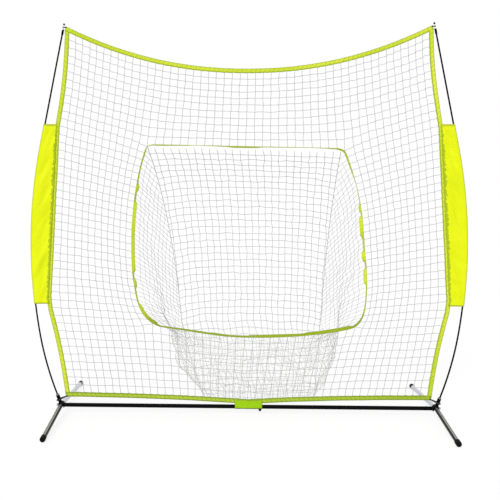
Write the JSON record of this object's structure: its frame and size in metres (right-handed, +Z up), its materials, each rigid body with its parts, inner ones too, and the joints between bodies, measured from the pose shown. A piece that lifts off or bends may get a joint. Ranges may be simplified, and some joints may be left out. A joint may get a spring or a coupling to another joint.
{
  "type": "pitching target net",
  "caption": "Bow-frame baseball pitching net with a strike-zone mouth and catch pocket, on two arched feet and a sectional crossbar.",
  "frame": {"origin": "the middle of the footprint on the floor, between the two feet and midway between the tips of each foot", "axes": "+X along the crossbar towards the right as the thrower sees it, +Y away from the thrower towards the catch pocket, +Z up"},
  "size_m": [2.491, 0.9266, 2.2426],
  "materials": {
    "black_steel": "satin black powder coat",
    "zinc_fastener": "bright zinc plate",
    "polished_steel": "polished plated steel",
    "spring_steel": "spring steel",
    "black_plastic": "matte",
    "grey_plastic": "matte",
    "pole_rod": "satin pultruded fibreglass",
    "elastic_cord": "braided elastic",
    "tab_cloth": "woven webbing",
    "sleeve_cloth": "coated polyester oxford",
    "binding_webbing": "woven polyester webbing",
    "netting": "knotless polyester netting"
  },
  "bodies": {
    "root": {"hub_left": "black_steel", "hub_right": "black_steel", "hub_bolt_left": "zinc_fastener", "hub_bolt_right": "zinc_fastener", "hub_washer_left": "zinc_fastener", "hub_washer_right": "zinc_fastener", "hub_nut_left": "zinc_fastener", "hub_nut_right": "zinc_fastener", "crossbar_outer_left": "black_steel", "crossbar_outer_right": "black_steel", "crossbar_inner_left": "black_steel", "crossbar_inner_right": "black_steel", "snap_spring_left": "spring_steel", "snap_spring_right": "spring_steel", "socket_collar_left": "grey_plastic", "socket_collar_right": "grey_plastic", "pole_lower_left": "pole_rod", "pole_lower_right": "pole_rod", "pole_middle_left": "pole_rod", "pole_middle_right": "pole_rod", "pole_upper_left": "pole_rod", "pole_upper_right": "pole_rod", "pole_ferrules_left": "black_steel", "pole_ferrules_right": "black_steel", "pole_tip_left": "polished_steel", "pole_tip_right": "polished_steel", "pole_ball_left": "black_plastic", "pole_ball_right": "black_plastic", "corner_loop_left": "elastic_cord", "corner_loop_right": "elastic_cord", "corner_strap_left": "elastic_cord", "corner_strap_right": "elastic_cord", "centre_tab": "tab_cloth", "side_sleeve_left": "sleeve_cloth", "side_sleeve_right": "sleeve_cloth", "binding_top": "binding_webbing", "binding_bottom": "binding_webbing", "binding_left": "binding_webbing", "binding_right": "binding_webbing", "front_net_top": "netting", "front_net_bottom": "netting", "front_net_left": "netting", "front_net_right": "netting", "opening_rim": "binding_webbing", "pocket_back": "netting", "pocket_left": "netting", "pocket_right": "netting", "pocket_front": "netting"},
    "foot_left": {"foot_tube_left": "polished_steel", "foot_cap_front_left": "black_plastic", "foot_cap_rear_left": "black_plastic"},
    "foot_right": {"foot_tube_right": "polished_steel", "foot_cap_front_right": "black_plastic", "foot_cap_rear_right": "black_plastic"},
    "button_left": {"snap_button_left": "spring_steel"},
    "button_right": {"snap_button_right": "spring_steel"}
  },
  "joints": [
    {"name": "foot_rock_left", "type": "hinge", "parent": "root", "child": "foot_left", "pos_m": [-1.067, -0.0575, 0.0542], "axis": [1, 0, 0], "range_deg": [-6, 6]},
    {"name": "foot_rock_right", "type": "hinge", "parent": "root", "child": "foot_right", "pos_m": [1.067, -0.0575, 0.0542], "axis": [1, 0, 0], "range_deg": [-6, 6]},
    {"name": "button_press_left", "type": "slide", "parent": "root", "child": "button_left", "axis": [0, 0, 1], "range_m": [-0.004, 0], "stiffness_N_per_m": 1200, "springref_m": 0.002, "deforming": ["snap_spring_left"]},
    {"name": "button_press_right", "type": "slide", "parent": "root", "child": "button_right", "axis": [0, 0, 1], "range_m": [-0.004, 0], "stiffness_N_per_m": 1200, "springref_m": 0.002, "deforming": ["snap_spring_right"]}
  ]
}
